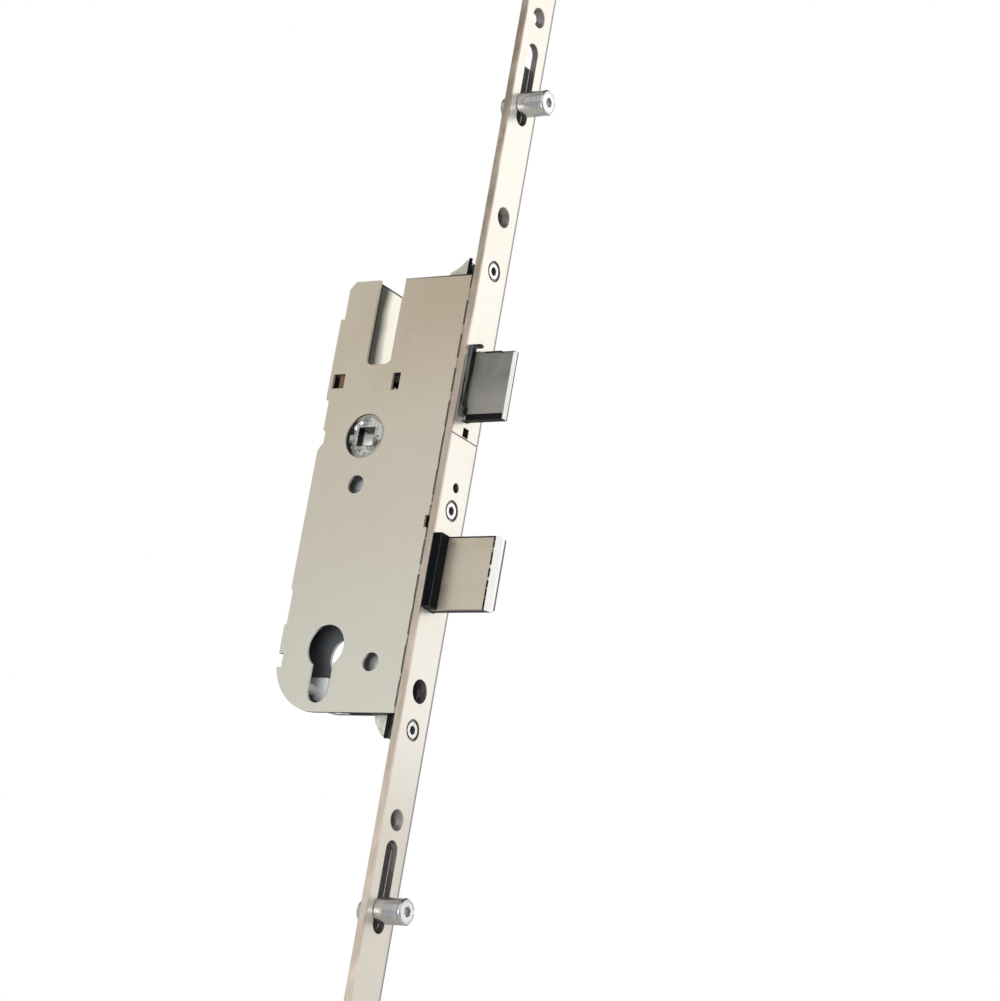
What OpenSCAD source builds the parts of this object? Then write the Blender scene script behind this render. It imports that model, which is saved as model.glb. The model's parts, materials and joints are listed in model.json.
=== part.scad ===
/* [Case] */
// Distance from the front of the faceplate to the spindle axis
backset = 45; // [45:1:60]
// Distance from the spindle axis down to the cylinder axis
centres = 92; // [90:1:100]
// Height of the case above the spindle axis
case_up = 70.5; // [68:0.5:80]
// Height of the case below the cylinder axis
case_down = 28; // [27.5:0.5:34]
// Depth of the cover behind the spindle axis
case_back = 24; // [24:0.5:32]
// Thickness of the case over both sheets
case_t = 18; // [18:0.5:19.5]
// Thickness of each case sheet
sheet_t = 1.4; // [1:0.1:1.5]
// How far the tray's walls stand inside the edge of the cover
rim_inset = 2.4; // [2:0.1:3]
// Radius of the rounded lower rear corner of the case
corner_r = 24; // [18:0.5:25]
// Width of the open slot in the top of the case
top_slot_w = 13.4; // [12:0.1:13.6]
// Height of the bottom of the top slot above the spindle axis
top_slot_z = 32; // [32:0.5:36]

/* [Faceplate] */
// Width of the faceplate
plate_w = 20; // [20:0.5:24]
// Thickness of the faceplate
plate_t = 3; // [2.5:0.1:3.5]
// Length of the faceplate above the spindle axis
plate_up = 205; // [200:1:260]
// Length of the faceplate below the spindle axis
plate_down = 255; // [250:1:300]
// Height of the upper fixing hole near the case
fix_hole_z = 99.3; // [96:0.1:110]
// Depth of the lower fixing hole near the case, below the spindle axis
low_hole_z = 162; // [158:0.5:165]
// Distance of the end fixing holes from the ends of the faceplate
end_hole = 13; // [10:0.5:16]
// Diameter of the fixing holes in the faceplate
fix_hole_d = 4.6; // [4:0.1:5]
// Diameter of the countersink on the front of the faceplate
sink_d = 9; // [8:0.1:9.6]

/* [Handle and cylinder] */
// Side of the spindle square
spindle = 8; // [7:0.5:9]
// Diameter of the handle fixing holes
post_d = 8; // [7:0.1:8.4]
// Depth of the first handle fixing hole below the spindle axis
post1_z = 21.5; // [21.5:0.1:23]
// Distance of the second handle fixing hole in front of the spindle axis
post2_x = 24.3; // [20:0.1:24.6]
// Depth of the second handle fixing hole below the spindle axis
post2_z = 98.6; // [96:0.1:99]
// Diameter of the round part of the cylinder opening
cyl_d = 18.6; // [17:0.1:18.8]
// Width of the slot part of the cylinder opening
cyl_slot_w = 11; // [10:0.1:11.2]
// Overall height of the cylinder opening
cyl_h = 33.4; // [33:0.1:34]
// Depth of the cylinder fixing screw below the cylinder axis
cyl_screw = 16.5; // [16:0.1:17]

/* [Follower and drive] */
// Diameter of the follower's hub
hub_d = 16.8; // [16:0.1:17.4]
// Angle that the follower turns through
turn = 50; // [45:1:50]
// Module of the follower's teeth and of the rack
gear_m = 2; // [2:0.05:2.1]
// Teeth that a full wheel of the follower's size would have
gear_n = 20; // [20:1:20]
// Width of the drive rods
rod_w = 8.8; // [8:0.1:8.8]
// Thickness of the drive rods
rod_t = 3; // [2.5:0.1:3.2]

/* [Latch] */
// How far the latch bolt stands out of the faceplate
latch_out = 20; // [19:0.5:22]
// Travel of the latch bolt
latch_travel = 18.5; // [16:0.5:18.5]
// Height of the top of the latch bolt above the spindle axis
latch_top = 37.3; // [34:0.1:38]
// Height of the latch bolt
latch_h = 30.3; // [28:0.1:30.4]
// Thickness of the latch and dead bolts
bolt_t = 8; // [7.6:0.1:8]
// Thickness of the tip of the latch bolt
latch_tip = 3.6; // [2:0.1:4]

/* [Deadbolt] */
// How far the thrown deadbolt stands out of the faceplate
deadbolt_out = 28.5; // [26:0.5:28.5]
// Depth of the bevels on the deadbolt's nose
nose_bevel = 1.5; // [1:0.1:3]
// Height of the deadbolt
deadbolt_h = 31.6; // [28:0.1:31.6]
// Depth of the middle of the deadbolt below the spindle axis
deadbolt_z = 59.5; // [58:0.5:60]
// Swing of the throw lever
lever_swing = 50; // [44:1:54]

/* [Roller cams] */
// Height of the upper roller's stem above the spindle axis
cam_up = 150; // [145:1:165]
// Depth of the lower roller's stem below the spindle axis
cam_down = 200; // [198:1:215]
// Diameter of the rollers
roller_d = 11; // [10:0.1:12]
// How far the rollers stand out of the faceplate
roller_out = 13; // [10:0.5:15]
// Offset of the roller's axis from its stem
cam_offset = 1; // [0.5:0.1:1.2]
// Width of the roller slots in the faceplate
slot_w = 8; // [7.6:0.1:9]
// Length of the roller slots in the faceplate
slot_l = 38; // [36:0.5:44]
// Height of the stem's rest place above the lower end of its slot
slot_rest = 8.4; // [6:0.1:12]

/* [Clearances] */
// Side gap between pieces that slide past each other
run_gap = 0.4; // [0.3:0.05:0.45]
// Radial gap of a shaft in its bore
fit_gap = 0.05; // [0.03:0.01:0.08]
// Gap between fixed pieces that seat in each other
seat_gap = 0.05; // [0.03:0.01:0.1]
// Play in each mesh and in each pin's slot
play = 0.35; // [0.25:0.05:0.4]

/* [Hidden] */
$fn = 48;
eps = 0.01;

// Planes of the case across its thickness
half_t = case_t / 2;
inner = half_t - sheet_t;
bolt_side = bolt_t / 2;
layer_in = bolt_side + run_gap;
layer_out = inner - run_gap;

// Planes of the case along its depth
plate_back = backset - plate_t;
rear_out = -case_back + rim_inset;
rear_in = rear_out + sheet_t;

// Levels of the case
cover_bottom = -(centres + case_down);
bottom_inset = 3.6;
tray_bottom = cover_bottom + bottom_inset;
tray_top = case_up - 1;

// Steps of the cover's rear edge, as depths inside its furthest point
step_top = 1.9;
step_mid = 1.6;
step_low = 0.5;
notch = 2.9;
bevel_w = 2.7;

// Slot in the top of the case and the liner round it
liner_t = 0.9;
liner_r = 3.5;
slot_half = top_slot_w / 2;
liner_out = slot_half + liner_t;
liner_bottom = top_slot_z - liner_t;

// Drive rods behind the faceplate
rod_gap = 0.4;
rod_front = plate_back - rod_gap;
rod_back = rod_front - rod_t;
screw_slot_w = 5.2;

// Follower: pitch radius, addendum and dedendum of its teeth
pitch_r = gear_m * gear_n / 2;
tip_r = pitch_r + gear_m;
root_r = pitch_r - 1.25 * gear_m;
pressure = 20;
base_r = pitch_r * cos(pressure);
rack_pitch = PI * gear_m;
rod_travel = pitch_r * turn * PI / 180;
hub_r = hub_d / 2;
hub_ring = 1.4;
flange_r = 12;
arm_lean = turn / 2;
arm_reach = latch_travel / 2 / sin(arm_lean);
arm_tip_r = 2;
arm_tip_top = arm_reach + arm_tip_r;

// Bushes of the handle fixing holes
bush_r = post_d / 2 + 1.8;

// Drive slide
slide_back = post2_x + bush_r + 0.3;
slide_front = rod_front;
slide_top = case_up - 2.5;
slide_bottom = tray_bottom;
slide_top_lug = slide_top - 8;
slide_low_lug = slide_bottom + 1;
lug_h = 6;
rack_reach = rod_travel + 1.4 * rack_pitch;

// Latch bolt, drawbar and spring
latch_bottom = latch_top - latch_h;
latch_neck_top = liner_bottom - 1.3;
latch_neck_bottom = hub_r + 0.85;
latch_rear = plate_back - 12;
draw_pin_r = 1.8;
draw_pin_x = plate_back - 7.6;
draw_pin_z = arm_reach * cos(arm_lean) - 0.35;
draw_top = liner_bottom - 0.3;
draw_hook = 2.25;
latch_spring_z = draw_pin_z + 0.2;
latch_seat_x = -case_back / 2 - 1;
bevel_in = plate_back - 2;
bevel_rise = 2.3;
hidden_rise = 1.4;
glide_h = 2.4;
latch_near = latch_bottom + 1.5;
latch_far = latch_bottom + bevel_rise + hidden_rise;

// Deadbolt and throw lever
deadbolt_top = -deadbolt_z + deadbolt_h / 2;
deadbolt_bottom = -deadbolt_z - deadbolt_h / 2;
tail_top = deadbolt_top - 1.8;
tail_bottom = deadbolt_bottom + 2.4;
deadbolt_far = deadbolt_bottom + bevel_rise + hidden_rise;
lever_mid = 3;
lever_reach = deadbolt_out / 2 / sin(lever_swing / 2);
lever_pin_z = deadbolt_z + 6.5;
lever_pivot_z = -lever_pin_z + lever_reach;
lever_pin_x = lever_mid + deadbolt_out / 2;
lever_pin_r = 2;
tail_rear = lever_pin_x - 5.25;

// Roller cams
stem_r = slot_w / 2 - 0.6;
journal_r = roller_d / 2 - 2.5;
stem_head_r = roller_d / 2 - 1.3;
collar_t = 1;
collar_gap = 0.3;

// Screws
screw_r = 2.5;
screw_zs = [case_up + 4.3, -31.3, cover_bottom - 4.7];
head_r = 3.3;
head_sink = 0.25;
head_groove = 0.8;
cyl_screw_z = -centres - cyl_screw;
bracket_front = rod_back - 4.3;
top_back = bracket_front - 9;
bottom_back = bracket_front - 6.2;
bracket_reach = 8.3;
bracket_near = -4.5;
bracket_far = layer_in - run_gap;
top_inside = 13;
bottom_inside = -post2_z - bush_r - 0.35 - cover_bottom;
guide_t = 1.2;

// Cylinder lying along Y, from y0 to y1
module along_y(r, y0, y1, x = 0, z = 0) {
    translate([x, y1, z]) rotate([90, 0, 0]) cylinder(r = r, h = y1 - y0);
}

// Cylinder lying along X, from x0 to x1
module along_x(r, x0, x1, y = 0, z = 0, r2 = -1) {
    translate([x0, y, z]) rotate([0, 90, 0]) cylinder(r1 = r, r2 = r2 < 0 ? r : r2, h = x1 - x0);
}

// Box between two corners
module block(a, b) {
    translate(a) cube(b - a);
}

// Flat shape drawn in X and Z, given a thickness from y0 to y1
module slab(y0, y1) {
    translate([0, y1, 0]) rotate([90, 0, 0]) linear_extrude(y1 - y0) children();
}

// Slot with round ends, cut along Y
module slot_y(w, z0, z1, x, y0, y1) {
    slab(y0, y1) translate([x, 0]) round_slot(w, z0, z1);
}

// Outline of an upright slot with round ends
module round_slot(w, z0, z1) {
    translate([-w / 2, z0 + w / 2]) square([w, z1 - z0 - w]);
    translate([0, z0 + w / 2]) circle(d = w);
    translate([0, z1 - w / 2]) circle(d = w);
}

// Slot with round ends, cut along X
module slot_x(w, z0, z1, x0, x1) {
    translate([x0, 0, 0]) rotate([90, 0, 90]) linear_extrude(x1 - x0) round_slot(w, z0, z1);
}

// Rectangle given by two corners
module rect(a, b) {
    translate(a) square(b - a);
}

// Outline of the cylinder opening, drawn about the cylinder's axis
module cylinder_outline() {
    circle(d = cyl_d);
    rect([-cyl_slot_w / 2, cyl_d / 2 + cyl_slot_w / 2 - cyl_h], [cyl_slot_w / 2, 0]);
    translate([0, cyl_d / 2 + cyl_slot_w / 2 - cyl_h]) circle(d = cyl_slot_w);
}

// Openings that both sheets share
module sheet_openings() {
    circle(r = hub_r + hub_ring);
    translate([0, -post1_z]) circle(d = post_d);
    translate([post2_x, -post2_z]) circle(d = post_d);
    translate([0, -centres]) cylinder_outline();
    rect([-slot_half, top_slot_z + liner_r], [slot_half, case_up + 1]);
    rect([-slot_half + liner_r, top_slot_z], [slot_half - liner_r, top_slot_z + liner_r]);
    for (side = [-1, 1])
        translate([side * (slot_half - liner_r), top_slot_z + liner_r]) circle(r = liner_r);
}

// Lower rear corner of the case, rounded
module corner_cut(x, z, r) {
    difference() {
        rect([x - 1, z - 1], [x + r, z + r]);
        translate([x + r, z + r]) circle(r = r, $fn = 96);
    }
}

// Outline of the near sheet, with the steps of its rear edge
module cover_outline() {
    back = -case_back;
    difference() {
        polygon([[back + step_top + bevel_w, case_up], [plate_back, case_up],
            [plate_back, cover_bottom], [back, cover_bottom], [back, -centres - 9],
            [back + notch, -centres - 9], [back + notch, -centres - 3],
            [back + step_low, -centres - 3], [back + step_low, -centres + 9.5],
            [back + step_mid, -centres + 9.5], [back + step_mid, -centres + 24],
            [back + step_low, -centres + 25.5], [back + step_low, -6], [back + step_mid, -4],
            [back + notch, -2.6], [back + notch, 2.4], [back + step_mid, 3.4],
            [back + step_mid, 16.6], [back, 17.2], [back, case_up - 17], [back + step_top, case_up - 17],
            [back + step_top, case_up - 3.4]]);
        corner_cut(back, cover_bottom, corner_r);
    }
}

// Shallow gaps along the seam between a sheet and the faceplate
module seam_gaps(z0, z1) {
    pitch = 15;
    count = floor((z1 - z0) / pitch);
    for (i = [0 : count - 1])
        rect([plate_back - 1.8, z0 + (i + 0.2) * pitch], [plate_back + 1, z0 + (i + 0.9) * pitch]);
}

window_in = 1.7;
window_low = 22;
window_high = 28.4;
slit_x = 9;
slit_w = 4;
catch_z = 38.5;

module case_cover() {
    color([0.72, 0.69, 0.63]) slab(-half_t, -inner) difference() {
        cover_outline();
        sheet_openings();
        seam_gaps(cover_bottom, case_up);
        rect([-case_back + window_in, window_low], [-case_back + window_in + 6.2, window_high]);
        rect([slit_x, window_low - 1.8], [slit_x + slit_w, window_high - 0.6]);
        rect([plate_back - 3.3, -catch_z - 2.6], [plate_back - 1.1, -catch_z + 2.6]);
    }
}

// Outline of the tray, inside the cover's edge
module tray_outline(inset = 0) {
    left = rear_out + inset;
    low = tray_bottom + inset;
    difference() {
        rect([left, low], [plate_back, tray_top - inset]);
        corner_cut(left, low, corner_r - rim_inset - inset);
    }
}

// Tab of the rear wall that hangs into the cover's window
module window_tab() {
    near = -inner + seat_gap;
    right = -case_back + window_in + 5.4;
    block([rear_in - 0.5, near, window_high + 0.2], [right, near + 1.4, window_high + 1.6]);
    block([right - 2.8, near, window_low + 0.6], [right, near + 1.4, window_high + 0.5]);
}

module case_tray() {
    color([0.7, 0.67, 0.61]) difference() {
        union() {
            slab(inner, half_t) tray_outline();
            slab(-inner, inner + eps) difference() {
                tray_outline();
                tray_outline(sheet_t);
                rect([top_back - 0.3, 0], [plate_back + 1, case_up + 1]);
                rect([bottom_back - 1, cover_bottom - 1], [plate_back + 1, eps]);
                rect([-liner_out, tray_top - 5], [liner_out, case_up + 1]);
                rect([-cyl_slot_w / 2 - 1, tray_bottom - 1], [cyl_slot_w / 2 + 1, tray_bottom + 5]);
            }
            block([-case_back + 0.4, -inner, window_low - 1], [rear_out + 0.5, inner, window_high + 1]);
            window_tab();
        }
        slab(inner - 1, half_t + 1) sheet_openings();
        block([-case_back + 1.1, -inner - 1, window_low - 0.1],
            [rear_in + 0.3, -inner + 4, window_high + 0.1]);
    }
}

module slot_liner() {
    color([0.85, 0.83, 0.74]) slab(-inner, inner) difference() {
        liner_shape(liner_out, liner_bottom, liner_r + liner_t, tray_top);
        liner_shape(slot_half, top_slot_z, liner_r, case_up + 1);
    }
}

// U shape, closed and rounded at its lower end
module liner_shape(half_w, z0, r, z1) {
    rect([-half_w, z0 + r], [half_w, z1]);
    rect([-half_w + r, z0], [half_w - r, z0 + r]);
    for (side = [-1, 1]) translate([side * (half_w - r), z0 + r]) circle(r = r);
}

// Countersunk hole through the faceplate
module sunk_hole(z, r) {
    along_x(r, plate_back - 1, backset + 1, 0, z);
    along_x(r, backset - (sink_d / 2 - r), backset + eps, 0, z, sink_d / 2 + eps);
}

// Hole for a case screw, with a groove round its head
module screw_seat(z) {
    floor_x = backset - head_groove;
    along_x(screw_r + 0.1, plate_back - 1, backset + 1, 0, z);
    along_x(screw_r + 0.1, floor_x - (head_r - screw_r), floor_x + eps, 0, z, head_r + 0.1);
    along_x(sink_d / 2, floor_x, backset + 1, 0, z);
}

// Opening for a bolt between z0 and z1, and for its guide's cheeks above z_near and z_far
cheek_in = bolt_side + run_gap / 2;
module bolt_opening(z0, z1, z_near, z_far) {
    side = inner + 0.1;
    top = z1 + 0.3;
    difference() {
        block([plate_back - 1, -cheek_in, z0 - 0.3], [backset + 1, cheek_in, top]);
        far_bevel(z0 - 0.3, plate_back - 2, backset + 2);
    }
    block([plate_back - 1, -side, z_near - 0.1], [backset + 1, eps, top]);
    block([plate_back - 1, 0, z_far - 0.1], [backset + 1, side, top]);
}

module faceplate() {
    color([0.9, 0.88, 0.84]) difference() {
        block([plate_back, -plate_w / 2, -plate_down], [backset, plate_w / 2, plate_up]);
        for (z = [plate_up - end_hole, fix_hole_z, -low_hole_z, -plate_down + end_hole])
            sunk_hole(z, fix_hole_d / 2);
        for (z = screw_zs) screw_seat(z);
        along_x(5, plate_back - 1, backset + 1, 0, cyl_screw_z);
        bolt_opening(latch_bottom, latch_top, latch_near, latch_far);
        bolt_opening(deadbolt_bottom, deadbolt_top, deadbolt_bottom, deadbolt_far);
        for (z = [cam_up, -cam_down])
            slot_x(slot_w, z - slot_rest, z - slot_rest + slot_l, plate_back - 1, backset + 1);
        block([plate_back - 1, -2, 0.6], [backset + 1, 2, 4.6]);
        block([backset - 0.3, -plate_w / 2 - 1, -0.2], [backset + 1, plate_w / 2 + 1, 0.3]);
        along_x(2.1, plate_back - 1, backset + 1, 0, -21.4);
    }
}

// Outline of the bracket's sloping part, from the case's end outwards
module bracket_slope(back) {
    polygon([[back, -eps], [bracket_front, -eps], [bracket_front, bracket_reach],
        [bracket_front - 1.2, bracket_reach], [bracket_front - 3.4, bracket_reach - 2.6],
        [back + 0.8, 3]]);
}

module bracket(z_end, up, inside, screw_z, back) {
    difference() {
        union() {
            slab(bracket_near, bracket_far) translate([0, z_end]) scale([1, up]) bracket_slope(back);
            block([back, -inner, min(z_end, z_end - up * inside)],
                [bracket_front, bracket_far, max(z_end, z_end - up * inside)]);
        }
        along_x(screw_r + seat_gap, back - 1, bracket_front + 1, 0, screw_z);
    }
}

module top_bracket() {
    color([0.78, 0.76, 0.66]) bracket(case_up, 1, top_inside, screw_zs[0], top_back);
}

module bottom_bracket() {
    color([0.78, 0.76, 0.66]) difference() {
        bracket(cover_bottom, -1, bottom_inside, screw_zs[2], bottom_back);
        along_x(screw_r + 0.4, bottom_back - 1, bracket_front + 1, 0, cyl_screw_z);
    }
}

// Dark pad on a bracket, with a rib that the drive rod slides along and a web between them
module rod_guide(z0, z1, web_z, holes) {
    color([0.08, 0.08, 0.09]) difference() {
        union() {
            block([bracket_front, bracket_near, z0], [bracket_front + guide_t, bracket_near + 0.9, z1]);
            block([bracket_front, bracket_near, web_z], [bracket_front + guide_t, bracket_far, web_z + 4]);
            block([bracket_front, 0.5, z0 + 1], [rod_back - run_gap, bracket_far, z1 - 1]);
        }
        for (z = holes) along_x(screw_r + 0.5, bracket_front - 1, rod_back, 0, z);
    }
}

module upper_rod_guide() {
    rod_guide(case_up - top_inside, case_up + bracket_reach + 1, case_up - top_inside,
        [screw_zs[0]]);
}

module lower_rod_guide() {
    rod_guide(cover_bottom - bracket_reach - 1, cover_bottom + bottom_inside, cover_bottom + 2,
        [screw_zs[2], cyl_screw_z]);
}

block_half = 4;

module middle_screw_block() {
    z = screw_zs[1];
    color([0.62, 0.62, 0.62]) difference() {
        block([plate_back - 11, -inner, z - block_half], [plate_back, bracket_far, z + block_half]);
        along_x(screw_r + seat_gap, plate_back - 12, plate_back + 1, 0, z);
    }
}

// Guides beside a bolt, in the faceplate's opening
module bolt_cheeks(z_near, z_far, z1, near_out) {
    block([plate_back, -inner, z_near], [backset + near_out, -cheek_in, z1]);
    block([plate_back, cheek_in, z_far], [backset, inner, z1]);
}

module latch_guide() {
    ear = 5.6;
    lip = 1.2;
    ear_top = latch_top + 1.8;
    color([0.12, 0.12, 0.13]) {
        bolt_cheeks(latch_near, latch_far, latch_top, lip);
        block([backset + eps, -inner, latch_top - 2], [backset + lip, -cheek_in, ear_top]);
        block([backset + lip - 0.5, -inner, ear_top - 1.3], [backset + ear, -inner + 2, ear_top]);
        block([backset + lip - 0.5, -inner, latch_near], [backset + 2, -cheek_in, latch_near + 3.4]);
    }
}

module deadbolt_guide() {
    lip = 4.2;
    color([0.05, 0.05, 0.06]) {
        bolt_cheeks(deadbolt_bottom, deadbolt_far, deadbolt_top, lip);
        block([backset + eps, -plate_w / 2 + 0.4, deadbolt_bottom],
            [backset + lip, -inner + eps, deadbolt_top]);
    }
}

module case_screws() {
    grip = 12;
    seat = backset - head_groove + seat_gap;
    top = backset - head_sink;
    color([0.85, 0.85, 0.85]) for (z = screw_zs) difference() {
        union() {
            along_x(screw_r, backset - grip, top, 0, z);
            along_x(screw_r, seat - (head_r - screw_r), seat, 0, z, head_r);
            along_x(head_r, seat - eps, top, 0, z);
        }
        along_x(2, top - 2.4, backset + 1, 0, z, $fn = 6);
    }
}

pillar_r = 2.5;

// Column between the two sheets
module pillar(x, z, r) {
    along_y(r, -inner, inner, x, z);
}

module case_pillars() {
    inside_r = corner_r - rim_inset;
    corner_step = (inside_r - sheet_t - pillar_r - seat_gap) * cos(45);
    color([0.75, 0.75, 0.75]) {
        pillar(rear_in + 6.2, case_up - 10.5, pillar_r);
        pillar(liner_out + 12, case_up - 12.5, pillar_r);
        pillar(slide_back - 7, -36, pillar_r);
        pillar(rear_in + 3.8, tail_top + 4, pillar_r);
        pillar(slide_back - 3.8, deadbolt_bottom - 7.2, pillar_r);
        pillar(rear_out + inside_r - corner_step, tray_bottom + inside_r - corner_step, pillar_r);
        corner_block(-centres - 9.6);
    }
}

// Block in the lower rear corner, beside the cylinder's slot
module corner_block(top) {
    intersection() {
        slab(layer_in, inner) tray_outline(sheet_t + 0.3);
        block([rear_out, 0, tray_bottom], [-cyl_slot_w / 2 - 0.5, half_t, top]);
    }
}

guide_pin_x = plate_back - 6.2;
guide_pin_zs = [case_up - 22, -centres + 2];
guide_pin_r = 2.5;

module slide_guide_pins() {
    color([0.75, 0.75, 0.75]) for (z = guide_pin_zs)
        along_y(guide_pin_r, layer_in, inner, guide_pin_x, z);
}

// Tube that lines a handle fixing hole
module fixing_bush(x, z) {
    color([0.7, 0.7, 0.68]) difference() {
        along_y(bush_r, -inner, inner, x, z);
        along_y(post_d / 2, -inner - 1, inner + 1, x, z);
    }
}

module upper_fixing_bush() {
    fixing_bush(0, -post1_z);
}

module lower_fixing_bush() {
    fixing_bush(post2_x, -post2_z);
}

hub_sink = 1;

module follower_bushes() {
    color([0.06, 0.06, 0.07]) for (side = [-1, 1]) difference() {
        y0 = side < 0 ? -half_t + hub_sink - 0.2 : inner - 0.2;
        along_y(hub_r + hub_ring - seat_gap, y0, y0 + sheet_t - hub_sink + 0.4);
        along_y(hub_r + fit_gap, -half_t - 1, half_t + 1);
    }
}

// Involute at radius r: polar angle from where the curve leaves the base circle
function inv_angle(r) = let (a = acos(base_r / r)) tan(a) * 180 / PI - a;
// Half of the tooth's angle at radius r
function half_tooth(r) = 90 / gear_n - play * 90 / (PI * pitch_r)
    + inv_angle(pitch_r) - inv_angle(max(r, base_r + eps));
flank_steps = 6;
flank_start = max(base_r + eps, root_r);
function flank_r(i) = flank_start + (tip_r - flank_start) * i / flank_steps;
function polar(r, a) = [r * cos(a), r * sin(a)];

// One tooth, pointing along angle a, with its foot inside the root circle
module tooth(a) {
    polygon(concat(
        [polar(root_r - 1, a - half_tooth(base_r)), polar(root_r, a - half_tooth(base_r))],
        [for (i = [0 : flank_steps]) polar(flank_r(i), a - half_tooth(flank_r(i)))],
        [for (i = [flank_steps : -1 : 0]) polar(flank_r(i), a + half_tooth(flank_r(i)))],
        [polar(root_r, a + half_tooth(base_r)), polar(root_r - 1, a + half_tooth(base_r))]));
}

sector_first = -3;
sector_last = 1;

// Wedge of a disc between two angles
module wedge(r, a0, a1) {
    steps = 12;
    polygon(concat([[0, 0]], [for (i = [0 : steps]) polar(r, a0 + (a1 - a0) * i / steps)]));
}

module follower_sector() {
    step = 360 / gear_n;
    circle(r = flange_r);
    intersection() {
        circle(r = root_r, $fn = 96);
        wedge(root_r * 1.2, (sector_first - 0.45) * step, (sector_last + 0.45) * step);
    }
    for (i = [sector_first : sector_last]) tooth(i * step);
}

// Arm that works the latch, drawn upright
module follower_arm() {
    polygon([[-5, 0], [-4, hub_r], [-1.3, arm_reach - 3.6], [-1.3, arm_reach],
        [1.3, arm_reach], [1.3, arm_reach - 3.6], [4, hub_r], [5, 0]]);
    translate([0, arm_reach]) circle(r = arm_tip_r);
    circle(r = hub_r + 1.2);
}

module follower() {
    hub_face = half_t - hub_sink;
    boss = spindle / 2 + 1.5;
    color([0.78, 0.8, 0.8]) difference() {
        union() {
            along_y(hub_r, -hub_face, hub_face);
            slab(layer_in, layer_out) follower_sector();
            slab(-layer_out, -layer_in) rotate(-arm_lean) follower_arm();
            block([-hub_r - 6.2, -3, -2.4], [-hub_r + 2, 3, 2.4]);
        }
        block([-spindle / 2, -half_t - 1, -spindle / 2], [spindle / 2, half_t + 1, spindle / 2]);
        for (z = [2.6, -3])
            along_y(1.6, -half_t, -hub_face + 1.2, -hub_r + 0.3, z);
        difference() {
            along_y(hub_r - 1, -half_t, -hub_face + 0.6);
            block([-boss, -half_t, -boss], [boss, 0, boss]);
        }
    }
}

// Points of a coil about the Z axis, and the tube swept along them
function coil_point(r, h, turns, t) = [r * cos(360 * turns * t), r * sin(360 * turns * t), h * t];
module coil(r, wire, h, turns) {
    rings = turns * 8;
    sides = 6;
    pts = [for (i = [0 : rings]) let (
            t = i / rings,
            p = coil_point(r, h, turns, t),
            out = [cos(360 * turns * t), sin(360 * turns * t), 0])
        for (j = [0 : sides - 1])
            p + wire * (cos(360 * j / sides) * out + sin(360 * j / sides) * [0, 0, 1])];
    polyhedron(pts, concat(
        [for (i = [0 : rings - 1], j = [0 : sides - 1], k = [0, 1]) let (
                a = i * sides + j,
                b = i * sides + (j + 1) % sides)
            k == 0 ? [a, b, b + sides] : [a, b + sides, a + sides]],
        [for (j = [1 : sides - 2]) [0, j + 1, j]],
        [for (j = [1 : sides - 2]) [rings * sides, rings * sides + j, rings * sides + j + 1]]));
}

spring_r = 2.7;
wire_r = 0.45;
latch_turns = 15;
follower_turns = 10;
latch_pocket_r = spring_r + wire_r + 0.4;
latch_pocket_x = backset - 3;

// Spring round the guide rod of its seat, from the seat into the bolt's pocket
module latch_spring() {
    x0 = latch_seat_x + 3.6 + wire_r;
    color([0.6, 0.6, 0.62]) translate([x0, 0, latch_spring_z]) rotate([0, 90, 0])
        coil(spring_r, wire_r, latch_pocket_x - wire_r - 0.1 - x0, latch_turns);
}

module latch_spring_seat() {
    x0 = latch_seat_x;
    rod_end = latch_pocket_x - 2 * latch_travel - 1.5;
    color([0.66, 0.62, 0.6]) {
        block([x0, -bolt_side, latch_spring_z - 5], [x0 + 3.5, inner, latch_spring_z + 5]);
        along_x(1.6, x0 + 3.5 - eps, rod_end, 0, latch_spring_z);
    }
}

module follower_spring() {
    z0 = -post1_z - 11.5 + wire_r;
    color([0.6, 0.6, 0.62]) translate([-hub_r - 3.2, 0, z0])
        coil(spring_r, wire_r, -2.4 - 2 * wire_r - 0.3 - z0, follower_turns);
}

module follower_spring_seat() {
    z = -post1_z - 11.6;
    color([0.66, 0.64, 0.6]) {
        block([rear_in, -inner, z - 2.4], [-hub_r + 1, inner, z]);
        translate([-hub_r - 3.2, 0, z - eps]) cylinder(r = 1.7, h = 10);
    }
}

module rack_tooth(z) {
    lean = gear_m * tan(pressure);
    half = rack_pitch / 4 - play / 4;
    foot = 1.25 * gear_m;
    polygon([[pitch_r + foot + 1, z - half - foot * tan(pressure)],
        [pitch_r + foot, z - half - foot * tan(pressure)],
        [pitch_r - gear_m, z - half + lean],
        [pitch_r - gear_m, z + half - lean],
        [pitch_r + foot, z + half + foot * tan(pressure)],
        [pitch_r + foot + 1, z + half + foot * tan(pressure)]]);
}

module drive_slide() {
    first = -floor((rack_reach - rack_pitch / 2) / rack_pitch) - 1;
    color([0.66, 0.66, 0.64]) difference() {
        union() {
            block([slide_back, layer_in, slide_bottom], [slide_front, layer_out, slide_top]);
            block([pitch_r + 1.25 * gear_m, layer_in, (first - 0.1) * rack_pitch],
                [slide_back + 1, layer_out, 1.9 * rack_pitch]);
            for (i = [first : 1]) slab(layer_in, layer_out) rack_tooth((i + 0.5) * rack_pitch);
        }
        for (z = [slide_top_lug, slide_low_lug])
            block([rod_back - seat_gap, layer_in - 1, z - seat_gap],
                [slide_front + 1, layer_out + 1, z + lug_h + seat_gap]);
        for (z = guide_pin_zs)
            slot_y(2 * guide_pin_r + 0.4, z - rod_travel - guide_pin_r - 0.2,
                z + guide_pin_r + 0.2, guide_pin_x, layer_in - 1, layer_out + 1);
    }
}

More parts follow.
